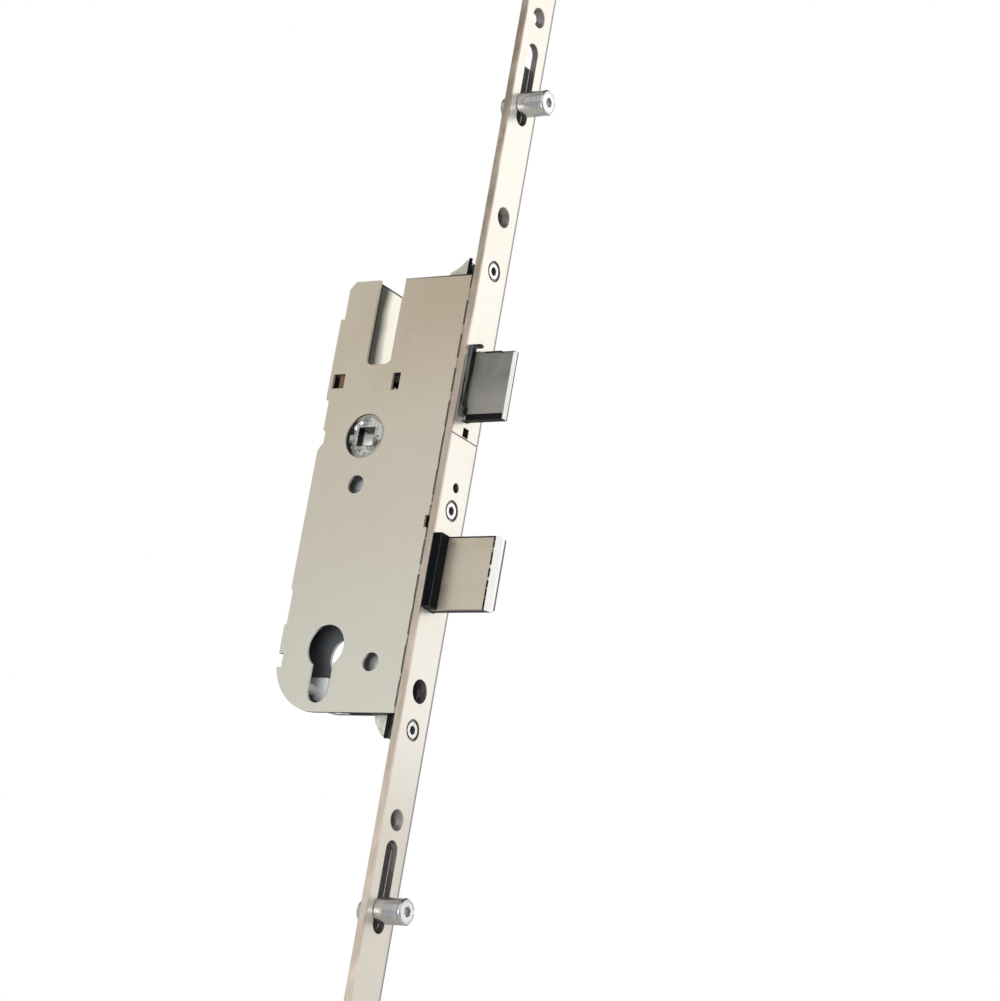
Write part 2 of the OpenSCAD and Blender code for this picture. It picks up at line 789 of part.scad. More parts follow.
// Drive rod with a lug that hooks into the slide, and clearance for the screws
module drive_rod(z0, z1, lug_z, stem_z, screw_slots) {
    color([0.45, 0.45, 0.46]) difference() {
        union() {
            block([rod_back, -rod_w / 2, z0], [rod_front, rod_w / 2, z1]);
            block([rod_back, rod_w / 2 - eps, lug_z], [rod_front, layer_out, lug_z + lug_h]);
        }
        for (s = screw_slots)
            slot_x(screw_slot_w + 0.8, s[0] - rod_travel - 3, s[1] + 3, rod_back - 1, rod_front + 1);
        along_x(stem_r + fit_gap, rod_back - 1, rod_front + 1, 0, stem_z);
    }
}

rod_over = 20;

module upper_rod() {
    drive_rod(slide_top_lug - lug_h - 3, cam_up + rod_over, slide_top_lug, cam_up, [[screw_zs[0], screw_zs[0]],
        [fix_hole_z + 1, fix_hole_z]]);
}

module lower_rod() {
    drive_rod(-cam_down - rod_over, slide_low_lug + lug_h + 3, slide_low_lug, -cam_down,
        [[screw_zs[2], cyl_screw_z], [-low_hole_z, -low_hole_z]]);
}

stem_end = backset + roller_out - 0.1;

// Stem that turns in the rod and carries the roller on its offset end
module cam_stem(z) {
    collar_x = backset + collar_gap;
    color([0.8, 0.8, 0.82]) difference() {
        union() {
            along_x(stem_r + 1.4, rod_back - 2, rod_back - 0.1, 0, z);
            along_x(stem_r, rod_back - 0.2, collar_x + eps, 0, z);
            along_x(roller_d / 2, collar_x, collar_x + collar_t, 0, z + cam_offset);
            along_x(journal_r, collar_x + collar_t - eps, stem_end - 1, 0, z + cam_offset);
            along_x(stem_head_r, stem_end - 1.2, stem_end, 0, z + cam_offset);
        }
        along_x(2.3, stem_end - 4, stem_end + 1, 0, z + cam_offset, $fn = 6);
    }
}

module roller(z) {
    x0 = backset + collar_gap + collar_t + 0.1;
    x1 = backset + roller_out;
    bevel = 0.7;
    color([0.85, 0.86, 0.87]) difference() {
        union() {
            along_x(roller_d / 2, x0, x1 - bevel, 0, z + cam_offset);
            along_x(roller_d / 2, x1 - bevel - eps, x1, 0, z + cam_offset, roller_d / 2 - bevel);
        }
        along_x(journal_r + fit_gap, x0 - 1, x1 + 1, 0, z + cam_offset);
        along_x(stem_head_r + 0.1, stem_end - 1.3, x1 + 1, 0, z + cam_offset);
    }
}

module upper_cam_stem() {
    cam_stem(cam_up);
}

module lower_cam_stem() {
    cam_stem(-cam_down);
}

module upper_roller() {
    roller(cam_up);
}

module lower_roller() {
    roller(-cam_down);
}

// Bevel along a bolt's edge on the near side
module edge_cut(z, x0, x1, depth) {
    translate([0, -bolt_side, z]) rotate([45, 0, 0])
        block([x0, -depth * sqrt(0.5), -depth * sqrt(0.5)], [x1, depth * sqrt(0.5), depth * sqrt(0.5)]);
}

// Slope that takes the lower far edge off a bolt
module far_bevel(z, x0, x1) {
    across = 2 * bolt_side - latch_tip;
    translate([0, -bolt_side + latch_tip, z]) rotate([atan(bevel_rise / across), 0, 0])
        block([x0, 0, -bevel_rise - 3], [x1, across + 3, 0]);
}

module latch_bolt() {
    tip_x = backset + latch_out;
    color([0.42, 0.42, 0.41]) difference() {
        union() {
            translate([0, 0, latch_bottom]) linear_extrude(latch_h)
                polygon([[backset, -bolt_side], [tip_x, -bolt_side],
                    [tip_x, -bolt_side + latch_tip], [tip_x - 4, -bolt_side + latch_tip + 0.8],
                    [backset + 9, bolt_side - 1.6], [backset + 3, bolt_side], [backset, bolt_side]]);
            block([latch_rear, -bolt_side, latch_neck_bottom],
                [backset + eps, bolt_side, latch_neck_top]);
            along_y(draw_pin_r, -layer_out + 0.2, -bolt_side + 1, draw_pin_x, draw_pin_z);
        }
        along_x(latch_pocket_r, latch_rear - 1, latch_pocket_x, 0, latch_spring_z);
        block([backset + 2, -bolt_side - 1, latch_bottom - 1],
            [tip_x - 0.6, -bolt_side + 0.5, latch_bottom + glide_h]);
        far_bevel(latch_bottom, bevel_in, tip_x + 1);
        edge_cut(latch_top, backset + 3, tip_x + 1, 0.5);
        edge_cut(latch_top, tip_x - 6.5, tip_x + 1, 1.4);
    }
}

module latch_drawbar() {
    tip_x = latch_travel / 2;
    lug = tip_x - arm_tip_r - play;
    band = draw_pin_z + draw_pin_r + 0.3;
    hook = draw_pin_x + draw_pin_r + 0.15;
    color([0.7, 0.7, 0.66]) slab(-layer_out, -layer_in) {
        rect([lug - 5, arm_tip_top + 0.3], [hook + draw_hook, draw_top]);
        rect([lug - 5, draw_pin_z - 0.9], [lug, draw_top]);
        rect([tip_x + arm_tip_r + play, band], [hook + draw_hook, draw_top]);
        rect([hook, draw_pin_z - 3], [hook + draw_hook, draw_top]);
    }
}

module deadbolt() {
    tip_x = backset + deadbolt_out;
    pin_low = -lever_pin_z - lever_pin_r - play;
    pin_high = lever_pivot_z - lever_reach * cos(lever_swing / 2) + lever_pin_r + play;
    color([0.74, 0.7, 0.63]) difference() {
        union() {
            translate([0, 0, deadbolt_bottom]) linear_extrude(deadbolt_h)
                polygon([[backset - 0.5, -bolt_side], [tip_x - nose_bevel, -bolt_side], [tip_x, -0.6],
                    [tip_x, 0.6], [tip_x - nose_bevel, bolt_side], [backset - 0.5, bolt_side]]);
            block([tail_rear, -bolt_side, tail_bottom], [backset, bolt_side, tail_top]);
            block([tail_rear, -bolt_side, tail_bottom - 7], [tail_rear + 6, bolt_side, tail_bottom + 1]);
        }
        block([lever_pin_x - lever_pin_r - play, -bolt_side - 1, pin_low],
            [lever_pin_x + lever_pin_r + play, -bolt_side + 3.4, pin_high]);
        edge_cut(deadbolt_bottom, backset + 1, tip_x + 1, 0.4);
        edge_cut(deadbolt_top, backset + 1, tip_x + 1, 0.4);
        far_bevel(deadbolt_bottom, bevel_in, tip_x + 1);
    }
}

module throw_lever() {
    boss = 5;
    color([0.68, 0.66, 0.62]) translate([lever_mid, 0, lever_pivot_z])
        rotate([0, -lever_swing / 2, 0]) difference() {
            union() {
                slab(-layer_out, -layer_in) {
                    circle(r = boss);
                    polygon([[-boss, 0], [boss, 0], [3.2, -lever_reach], [3.2, -lever_reach - 8],
                        [-3.2, -lever_reach - 8], [-3.2, -lever_reach]]);
                }
                along_y(lever_pin_r, -layer_in - eps, -bolt_side + 3, 0, -lever_reach);
            }
            along_y(3 + fit_gap, -layer_out - 1, -layer_in + 1);
        }
}

module throw_lever_pivot() {
    color([0.75, 0.75, 0.75]) along_y(3, -inner, inner, lever_mid, lever_pivot_z);
}

// Leaf spring that bears on the deadbolt's tail and keeps it from drifting
module deadbolt_leaf_spring() {
    leaf_t = 0.6;
    ramp_end = backset - 0.5 - deadbolt_out - run_gap;
    nose = ramp_end - 3.2;
    low = tail_top + seat_gap;
    high = deadbolt_top + run_gap;
    post_x = plate_back - 7;
    color([0.6, 0.6, 0.6]) slab(-1.6, 1.6) {
        polygon([[nose, low], [nose + 1.2, low], [ramp_end, high], [post_x, high],
            [post_x, high + leaf_t], [ramp_end - 0.3, high + leaf_t], [nose + 0.9, low + leaf_t],
            [nose, low + leaf_t]]);
        rect([post_x - leaf_t, high], [post_x, screw_zs[1] - block_half]);
    }
}

faceplate();
case_cover();
case_tray();
slot_liner();
top_bracket();
bottom_bracket();
middle_screw_block();
upper_rod_guide();
lower_rod_guide();
latch_guide();
deadbolt_guide();
case_screws();
case_pillars();
slide_guide_pins();
upper_fixing_bush();
lower_fixing_bush();
follower_bushes();
follower();
follower_spring();
follower_spring_seat();
drive_slide();
upper_rod();
lower_rod();
upper_cam_stem();
upper_roller();
lower_cam_stem();
lower_roller();
latch_bolt();
latch_drawbar();
latch_spring();
latch_spring_seat();
deadbolt();
throw_lever();
throw_lever_pivot();
deadbolt_leaf_spring();
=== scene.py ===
"""Looks of the multipoint door lock, dressed around its packed construction.

Places and lengths in the finishes are millimetres, and colours are linear.
"""

import json
import math

import bmesh
import bpy
from mathutils import Matrix, Vector


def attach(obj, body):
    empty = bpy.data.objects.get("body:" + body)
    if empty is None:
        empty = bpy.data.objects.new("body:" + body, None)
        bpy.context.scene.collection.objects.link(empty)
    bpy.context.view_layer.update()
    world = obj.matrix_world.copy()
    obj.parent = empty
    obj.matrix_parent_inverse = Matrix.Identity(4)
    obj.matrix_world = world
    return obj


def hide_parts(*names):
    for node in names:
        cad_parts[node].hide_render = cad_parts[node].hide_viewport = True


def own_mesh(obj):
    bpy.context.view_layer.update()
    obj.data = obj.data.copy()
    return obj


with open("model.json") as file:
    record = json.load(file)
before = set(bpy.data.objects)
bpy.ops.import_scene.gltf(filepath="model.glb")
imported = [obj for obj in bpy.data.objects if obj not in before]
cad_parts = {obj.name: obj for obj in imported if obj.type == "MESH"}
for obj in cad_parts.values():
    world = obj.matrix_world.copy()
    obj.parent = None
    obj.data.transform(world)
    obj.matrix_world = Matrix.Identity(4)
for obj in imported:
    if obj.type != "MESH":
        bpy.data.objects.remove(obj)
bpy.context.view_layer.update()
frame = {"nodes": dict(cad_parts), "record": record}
nodes = frame["nodes"]
MM = 0.001

# Camera, at the photograph's viewing angle: degrees, and its place in millimetres
CAMERA_AZIMUTH = 35.90
CAMERA_ELEVATION = -16.27
CAMERA_ROLL = 9.824
CAMERA_PLACE = (867.6, -1104.4, -425.2)
CAMERA_LENS = 125.5
SENSOR_WIDTH = 36.0
CLIP_NEAR = 0.05
CLIP_FAR = 20.0

# Places on the construction where a finish changes
PLATE_FRONT = 45
PLATE_BACK = 42
PLATE_HALF_WIDTH = 10
LATCH_TIP = 65
LATCH_TOP = 37.3
LINER_TOP = 69.5
NOSE_START = 72
BOLT_TOP = -43.7
# Where the painted dark lines and the latch's black band start along the bolts
DARK_LINES_START = PLATE_FRONT + 1.5
BORE_TOP = 3.9

# Boxes, from their low to their high corner, that take a finish of their own
# CASE_INSIDE and REAR_WINDOW take painted shade: the inside of the case and the cavity behind the rear
# window
CASE_INSIDE = ((-20.3, -7.7, -115.6), (41.9, 7.7, 67.5))
COVER_SEAM = ((40.5, -9.4, -200), (42.5, -7.6, 200))
# COVER_RIM takes a painted shadow line along the cover's top rim, darkest by the top bracket
COVER_RIM = ((5.5, -9.4, 69.9), (42.5, -7.6, 71.0))
# CYLINDER_RIM takes a painted highlight on the walls of the cylinder opening
CYLINDER_RIM = ((-10.0, -9.2, -114.0), (10.0, -7.6, -81.5))
REAR_WINDOW = ((-23.2, -7.65, 21.9), (-16.0, -3.0, 28.5))
WINDOW_TAB = ((-21.2, -7.65, 22.5), (-16.0, -5.5, 30.5))
PIN_HOLE = ((41.5, -3.0, 0.0), (44.9, 3.5, 7.0))
LATCH_DARK_BAND = ((DARK_LINES_START, -4.1, 6.0), (LATCH_TIP - 0.4, -3.3, 9.5))
# LATCH_TOP_EDGE and BOLT_TOP_EDGE take painted shade along the bolts' top edges
LATCH_TOP_EDGE = ((50.5, -4.5, LATCH_TOP - 1), (60, -3.2, LATCH_TOP + 1))
BOLT_TOP_EDGE = ((DARK_LINES_START, -4.5, BOLT_TOP - 0.8), (NOSE_START, -3.4, BOLT_TOP + 1))
SPINDLE_HOLE = ((-4.2, -9.0, -4.2), (4.2, 9.0, 4.2))

# Texture stretches for lines that run up the plate or out along the bolts
EVEN = (1.0, 1.0, 1.0)
ALONG_Z = (1.0, 1.0, 0.02)
ALONG_X = (0.02, 1.0, 1.0)

# Colours of details
# Painted shade, near black
PAINTED_SHADE_BLACK = (0.01, 0.01, 0.01)
# Painted highlight on the cylinder opening's walls
RIM_HIGHLIGHT = (0.85, 0.85, 0.84)
# Painted warm light, high on the case towards the faceplate
PAINTED_WARM_LIGHT = (0.52, 0.43, 0.32)
EDGE_RUST = (0.4, 0.31, 0.25)
PALE_EDGE = (0.84, 0.72, 0.62)
WALL_DARK = (0.2, 0.195, 0.18)
WALL_LIGHT = (0.38, 0.37, 0.345)
PLATE_LOWER_TONE = (0.74, 0.69, 0.61)
# Painted reflection: dark grey on the faceplate's far edge
FAR_EDGE_REFLECTION = (0.3, 0.3, 0.3)
PIN_RUST = (0.2, 0.085, 0.06)
LATCH_LOWER = (0.45, 0.42, 0.39)
# Rubbed edges of the plastics, lightened as a painted highlight too
PLASTIC_EDGE_WEAR_AND_HIGHLIGHT = (0.09, 0.11, 0.11)
# Rubbed edges of the latch guide, lightened as a painted highlight too
GUIDE_EDGE_WEAR_AND_HIGHLIGHT = (0.2, 0.21, 0.2)

# Floor, well below the lock because the camera looks up at it, in metres
FLOOR_Z = -0.70
FLOOR_HALF = 5.0
FLOOR_COLOUR = (0.8, 0.8, 0.79, 1.0)


def new_material(name):
    """A new material and the short calls that build its shader."""
    material = bpy.data.materials.new(name)
    material.use_nodes = True
    return material, Graph(material.node_tree)


def times(share, colour):
    """A colour with each channel multiplied by a share."""
    return tuple(share * channel for channel in colour)


class Graph:
    """Short calls for building a shader from nodes."""

    def __init__(self, tree):
        self.tree = tree
        self.coordinates = {}
        self.shader = tree.nodes.get("Principled BSDF")

    def add(self, kind, **values):
        node = self.tree.nodes.new(kind)
        for key, value in values.items():
            setattr(node, key, value)
        return node

    def link(self, source, target):
        self.tree.links.new(source, target)

    def feed(self, source, socket):
        """Link a source to one of the shader's sockets."""
        self.link(source, self.shader.inputs[socket])

    def set(self, **values):
        """Set the shader's own sockets, named as in roughness=0.9."""
        for key, value in values.items():
            socket = key.replace("_", " ").title().replace("Ior", "IOR")
            self.shader.inputs[socket].default_value = value

    def texture_place(self, stretch):
        """Object coordinates, stretched."""
        source = self.add("ShaderNodeTexCoord")
        mapping = self.add("ShaderNodeMapping")
        mapping.inputs["Scale"].default_value = stretch
        self.link(source.outputs["Object"], mapping.inputs["Vector"])
        return mapping.outputs["Vector"]

    def noise(self, scale, detail=4.0, rough=0.5, stretch=EVEN):
        node = self.add("ShaderNodeTexNoise")
        node.inputs["Scale"].default_value = scale
        node.inputs["Detail"].default_value = detail
        node.inputs["Roughness"].default_value = rough
        self.link(self.texture_place(stretch), node.inputs["Vector"])
        return node.outputs["Fac"]

    def brushing(self, stretch=EVEN):
        """Noise of fine brushing lines, long where stretch is small."""
        return self.noise(420, detail=5, rough=0.65, stretch=stretch)

    def spread(self, value, low, high, out_low=0.0, out_high=1.0):
        """A value between low and high, moved to lie between out_low and out_high."""
        node = self.add("ShaderNodeMapRange")
        self.link(value, node.inputs["Value"])
        node.inputs["From Min"].default_value = low
        node.inputs["From Max"].default_value = high
        node.inputs["To Min"].default_value = out_low
        node.inputs["To Max"].default_value = out_high
        return node.outputs["Result"]

    def varied(self, noise, at_low, at_high):
        """A value that goes from at_low to at_high over a noise's usual range."""
        return self.spread(noise, 0.3, 0.7, at_low, at_high)

    def mix(self, factor, a, b):
        """A colour that goes from a to b as the factor goes from 0 to 1."""
        node = self.add("ShaderNodeMix", data_type="RGBA")
        factor_socket = node.inputs[0]
        colour_sockets = node.inputs[6:8]
        if isinstance(factor, float):
            factor_socket.default_value = factor
        else:
            self.link(factor, factor_socket)
        for socket, value in zip(colour_sockets, (a, b)):
            if isinstance(value, tuple):
                socket.default_value = (*value, 1.0)
            else:
                self.link(value, socket)
        return node.outputs[2]

    def tone(self, noise, dark, light, low=0.35, high=0.65):
        """A colour that goes from dark to light as a noise goes from low to high."""
        return self.mix(self.spread(noise, low, high), dark, light)

    def math(self, operation, a, b):
        node = self.add("ShaderNodeMath", operation=operation)
        for socket, value in zip(node.inputs, (a, b)):
            if isinstance(value, (int, float)):
                socket.default_value = value
            else:
                self.link(value, socket)
        return node.outputs[0]

    def both(self, a, b):
        """Mask where both masks are on."""
        return self.math("MINIMUM", a, b)

    def either(self, *masks):
        """Mask where any of the masks is on."""
        found = masks[0]
        for mask in masks[1:]:
            found = self.math("MAXIMUM", found, mask)
        return found

    def weigh(self, a, share, b):
        """A share of a and the rest of b."""
        return self.math("ADD", self.math("MULTIPLY", a, share), self.math("MULTIPLY", b, 1.0 - share))

    def coordinate(self, axis, output="Object"):
        """One axis of the texture coordinates, in metres for Object."""
        if output not in self.coordinates:
            source = self.add("ShaderNodeTexCoord")
            split = self.add("ShaderNodeSeparateXYZ")
            self.link(source.outputs[output], split.inputs[0])
            self.coordinates[output] = dict(zip("xyz", split.outputs))
        return self.coordinates[output][axis]

    def stray(self, axis, noise, reach):
        """A coordinate that a noise moves to and fro by up to reach."""
        return self.math("ADD", self.coordinate(axis), self.varied(noise, -reach * MM, reach * MM))

    def facing_down(self):
        """Mask of the surfaces that face down the lock."""
        return self.spread(self.coordinate("z", "Normal"), -0.9, -0.6, 1.0, 0.0)

    def cut_wall(self):
        """Mask of walls that run across the lock, such as the sides of a sheet's openings."""
        across = self.math("ABSOLUTE", self.coordinate("y", "Normal"), 0.0)
        return self.spread(across, 0.3, 0.6, 1.0, 0.0)

    def ramp(self, axis, low, high, top=1.0):
        """A value that goes from 0 at low to top at high along an axis."""
        return self.spread(self.coordinate(axis), low * MM, high * MM, 0.0, top)

    def inside(self, axis, low, high, soft=0.1):
        """Mask of what lies between low and high along an axis."""
        rise = self.ramp(axis, low - soft, low + soft)
        fall = self.ramp(axis, high + soft, high - soft)
        return self.both(rise, fall)

    def inside_box(self, low, high, soft=0.1):
        """Mask of what lies in a box."""
        mask = None
        for axis, start, end in zip("xyz", low, high):
            part = self.inside(axis, start, end, soft)
            mask = part if mask is None else self.both(mask, part)
        return mask

    def bevelled_normal(self, radius):
        edge = self.add("ShaderNodeBevel", samples=4)
        edge.inputs["Radius"].default_value = radius * MM
        return edge.outputs["Normal"]

    def bump(self, height, strength, distance, radius=0.2):
        """Bump from a height, over edges softened by radius."""
        node = self.add("ShaderNodeBump")
        node.inputs["Strength"].default_value = strength
        node.inputs["Distance"].default_value = distance * MM
        self.link(height, node.inputs["Height"])
        self.link(self.bevelled_normal(radius), node.inputs["Normal"])
        self.feed(node.outputs["Normal"], "Normal")

    def edge_wear(self, radius, low, high):
        """Mask of sharp edges, broken up by noise."""
        surface = self.add("ShaderNodeNewGeometry")
        likeness = self.add("ShaderNodeVectorMath", operation="DOT_PRODUCT")
        self.link(surface.outputs["Normal"], likeness.inputs[0])
        self.link(self.bevelled_normal(radius), likeness.inputs[1])
        uneven = self.varied(self.noise(900), -0.03, 0.03)
        broken = self.math("ADD", likeness.outputs["Value"], uneven)
        return self.spread(broken, low, high, 1.0, 0.0)


def coated_sheet(name, dark, light, painted_lower_tint, worn, shade_and_seam, painted_recess, rust):
    """Warm coating on the case's sheets: fine grain, faint clouds, worn edges, a dark broken seam, and
    painted light and shade.
    """
    material, g = new_material(name)
    clouds = g.noise(26, detail=3)
    grain = g.noise(2600, detail=2, rough=0.7)
    coat = g.tone(clouds, dark, light)
    # Painted light: the coating turns cooler and greyer lower down, and warmer high up towards the
    # faceplate
    coat = g.mix(g.ramp("z", 40, -90), coat, painted_lower_tint)
    coat = g.mix(g.both(g.ramp("x", -4, 20), g.ramp("z", 10, 60)), coat, PAINTED_WARM_LIGHT)
    coat = g.mix(g.spread(grain, 0.35, 0.7, 0.0, 0.05), coat, worn)
    coat = g.mix(g.edge_wear(0.25, 0.93, 0.995), coat, worn)
    # Painted highlight on the walls of the cylinder opening
    coat = g.mix(g.both(g.inside_box(*CYLINDER_RIM), g.cut_wall()), coat, RIM_HIGHLIGHT)

    # Painted shade inside the case and behind the rear window, with dimmer painted light low down where the
    # cylinder opening lets it in
    shaded_inside = g.either(g.inside_box(*CASE_INSIDE), g.inside_box(*REAR_WINDOW))
    lit_depth = g.both(g.ramp("z", -70, -92), g.ramp("z", -112.5, -111.5))
    coat = g.mix(shaded_inside, coat, g.mix(lit_depth, shade_and_seam, painted_recess))

    # Dark lines: a broken dark seam by the faceplate, a painted shadow line along the top rim deepening
    # towards the top bracket, and painted shade on surfaces that face down
    gaps = g.spread(g.noise(160, rough=0.6), 0.42, 0.52, 0.35, 1.0)
    seam = g.math("MULTIPLY", g.inside_box(*COVER_SEAM), gaps)
    rim = g.math("MULTIPLY", g.inside_box(*COVER_RIM), g.ramp("x", 0, 36))
    underside = g.facing_down()
    coat = g.mix(g.either(seam, rim, underside), coat, shade_and_seam)
    g.feed(g.mix(g.inside_box(*WINDOW_TAB), coat, rust), "Base Color")
    g.feed(g.either(g.varied(clouds, 0.52, 0.42), underside), "Roughness")
    g.set(metallic=0.3)
    g.bump(grain, 0.1, 0.04, radius=0.25)
    return material


def bore_metal(name, cream, shade, low, high, metallic):
    """Plated metal round an opening, with painted shade by the cover fading to pale beyond, from low to
    high.
    """
    material, g = new_material(name)
    lines = g.noise(300, stretch=ALONG_Z)
    base = g.tone(lines, times(0.92, cream), cream)
    depth = g.stray("y", g.noise(90, detail=3, stretch=(1.0, 1.0, 0.4)), 1.2)
    base = g.mix(g.spread(depth, low * MM, high * MM), shade, base)
    # Painted shade: black lines along the near edge and the top rim
    base = g.mix(g.ramp("y", -7.2, -6.2), PAINTED_SHADE_BLACK, base)
    top_edge = g.ramp("z", LINER_TOP - 0.8, LINER_TOP - 0.6)
    g.feed(g.mix(top_edge, base, PAINTED_SHADE_BLACK), "Base Color")
    g.feed(g.varied(lines, 0.3, 0.4), "Roughness")
    g.set(metallic=metallic)
    g.bump(lines, 0.1, 0.03)
    return material


def brushed_plate(name, dark, light, edge_dark, edge_light):
    """Stainless faceplate: lengthwise brushing on the front, darker sheared edges and hole walls."""
    material, g = new_material(name)
    lines = g.brushing(ALONG_Z)
    clouds = g.noise(18, detail=3)
    front = g.tone(g.weigh(lines, 0.3, clouds), dark, light, low=0.3, high=0.7)
    back = g.mix(0.35, front, edge_dark)

    tears = g.noise(260, stretch=(1.0, 1.0, 0.25))
    rusty = g.spread(g.noise(150, rough=0.65, stretch=(1.0, 1.0, 0.4)), 0.42, 0.6, 0.0, 0.7)
    sheared = g.tone(tears, edge_dark, edge_light)
    sheared = g.mix(rusty, sheared, EDGE_RUST)
    sheared = g.mix(g.ramp("z", 100, 20, top=0.45), sheared, PALE_EDGE)

    walls = g.tone(tears, WALL_DARK, WALL_LIGHT)
    wall_reach = PLATE_HALF_WIDTH - 0.5
    sides = g.mix(g.inside("y", -wall_reach, wall_reach), sheared, walls)
    sides = g.mix(g.inside_box(*PIN_HOLE), sides, PIN_RUST)
    sides = g.mix(g.ramp("x", PLATE_BACK + 0.1, PLATE_BACK), sides, back)

    # The front turns darker and greyer towards its lower end
    front = g.mix(g.ramp("z", -120, -170), front, PLATE_LOWER_TONE)
    # Painted reflection: a dark grey line along the front's far edge
    front = g.mix(g.ramp("y", PLATE_HALF_WIDTH - 1.3, PLATE_HALF_WIDTH - 0.8), front, FAR_EDGE_REFLECTION)
    front = g.mix(g.ramp("y", 1.2 - PLATE_HALF_WIDTH, 0.8 - PLATE_HALF_WIDTH), front, sheared)
    face = g.inside("x", PLATE_FRONT - 0.2, PLATE_FRONT + 10)
    g.feed(g.mix(face, sides, front), "Base Color")
    g.feed(g.varied(lines, 0.3, 0.42), "Roughness")
    g.set(metallic=0.75)
    g.bump(lines, 0.08, 0.02)
    return material


def sintered_latch(name, dark, light, tip, band_and_shade):
    """Dark grey sintered latch with a black band low on its near face, and painted highlight and shade on
    its end.
    """
    material, g = new_material(name)
    pits = g.noise(1500, rough=0.7)
    patches = g.noise(70, rough=0.6)
    face = g.tone(g.weigh(pits, 0.45, patches), dark, light, low=0.36, high=0.64)
    face = g.mix(g.ramp("z", 26, 16, top=0.6), face, LATCH_LOWER)
    # Painted highlight on the near half of the end face, painted shade on its far half
    at_tip = g.inside("x", LATCH_TIP - 0.1, LATCH_TIP + 1, soft=0.05)
    face = g.mix(at_tip, face, g.mix(g.ramp("y", -1.1, -0.9), tip, band_and_shade))
    # Black: a band low on the near face, with painted shade along the top edge and on surfaces that face
    # down
    black = g.either(g.inside_box(*LATCH_DARK_BAND), g.inside_box(*LATCH_TOP_EDGE), g.facing_down())
    g.feed(g.mix(black, face, band_and_shade), "Base Color")
    g.feed(g.varied(pits, 0.54, 0.4), "Roughness")
    g.set(metallic=0.6)
    g.bump(pits, 0.3, 0.06, radius=0.3)
    return material


def satin_bolt(name, dark, light, nose, painted_dark):
    """Satin bolt, drawn along its length, with painted highlight and shade on its nose and painted dark
    lines at its edges.
    """
    material, g = new_material(name)
    lines = g.brushing(ALONG_X)
    clouds = g.noise(30, detail=2)
    face = g.tone(g.weigh(lines, 0.2, clouds), dark, light)
    # Painted highlight on the near half of the nose, painted shade on its far half
    at_nose = g.inside("x", NOSE_START, NOSE_START + 10, soft=0.05)
    face = g.mix(at_nose, face, g.mix(g.ramp("y", 0.9, 1.1), nose, painted_dark))
    # Painted dark reflection in a broken line before the nose and along the top edge, and painted shade on
    # surfaces that face down
    broken = g.spread(g.noise(600, detail=2, stretch=(0.2, 0.2, 1.0)), 0.36, 0.46)
    before_nose = g.inside("x", NOSE_START - 0.7, NOSE_START + 0.1, soft=0.05)
    line = g.math("MULTIPLY", before_nose, broken)
    black = g.either(line, g.inside_box(*BOLT_TOP_EDGE), g.facing_down())
    g.feed(g.mix(black, face, painted_dark), "Base Color")
    g.feed(g.varied(lines, 0.36, 0.42), "Roughness")
    g.set(metallic=0.9)
    g.bump(lines, 0.06, 0.03)
    return material


def brushed(name, dark, light, rough, stretch, metallic=0.9, streaks=0.5):
    """Metal with brushing lines, long where stretch is small; streaks is their share of the tone."""
    material, g = new_material(name)
    lines = g.brushing(stretch)
    clouds = g.noise(30, detail=2)
    g.feed(g.tone(g.weigh(lines, streaks, clouds), dark, light), "Base Color")
    g.feed(g.varied(lines, rough - 0.05, rough + 0.08), "Roughness")
    g.set(metallic=metallic)
    g.bump(lines, 0.15, 0.03)
    return material


def cast_metal(name, dark, light, rough, metallic=0.85):
    """Cast metal with fine pits and a mottled tone."""
    material, g = new_material(name)
    pits = g.noise(900, rough=0.7)
    patches = g.noise(70, rough=0.6)
    metal = g.tone(g.weigh(pits, 0.45, patches), dark, light, low=0.36, high=0.64)
    g.feed(metal, "Base Color")
    g.feed(g.varied(pits, rough + 0.08, rough - 0.06), "Roughness")
    g.set(metallic=metallic)
    g.bump(pits, 0.3, 0.06, radius=0.3)
    return material


def turned(name, tint, rough, stretch):
    """Lathe-turned, polished steel with fine rings round the X axis."""
    material, g = new_material(name)
    rings = g.noise(900, detail=3, rough=0.6, stretch=stretch)
    g.feed(g.tone(rings, times(0.82, tint), tint), "Base Color")
    g.feed(g.varied(rings, rough, rough + 0.1), "Roughness")
    g.set(metallic=1.0)
    g.bump(rings, 0.08, 0.02)
    return material


def moulded(name, colour, rough):
    """Moulded acetal with a fine texture, a little sheen and rubbed edges, lightened as a painted highlight
    too.
    """
    material, g = new_material(name)
    texture = g.noise(1500, detail=3)
    base = g.tone(texture, colour, times(1.7, colour), high=0.7)
    # Edges lightened: rubbed wear and a painted highlight
    g.feed(g.mix(g.edge_wear(0.4, 0.86, 0.95), base, PLASTIC_EDGE_WEAR_AND_HIGHLIGHT), "Base Color")
    g.feed(g.varied(texture, rough, rough + 0.12), "Roughness")
    g.set(specular_ior_level=0.05)
    g.bump(texture, 0.15, 0.03)
    return material


def scuffed_guide(name, dark, scuff):
    """Black moulded guide, scuffed grey in streaks along the lock, its rubbed edges lightened as a painted
    highlight too.
    """
    material, g = new_material(name)
    streaks = g.noise(380, rough=0.6, stretch=(1.0, 1.0, 0.12))
    base = g.tone(streaks, dark, scuff, low=0.48, high=0.6)
    # Edges lightened: rubbed wear and a painted highlight
    g.feed(g.mix(g.edge_wear(0.4, 0.86, 0.95), base, GUIDE_EDGE_WEAR_AND_HIGHLIGHT), "Base Color")
    g.feed(g.varied(streaks, 0.3, 0.45), "Roughness")
    g.set(specular_ior_level=0.1)
    g.bump(streaks, 0.15, 0.03)
    return material


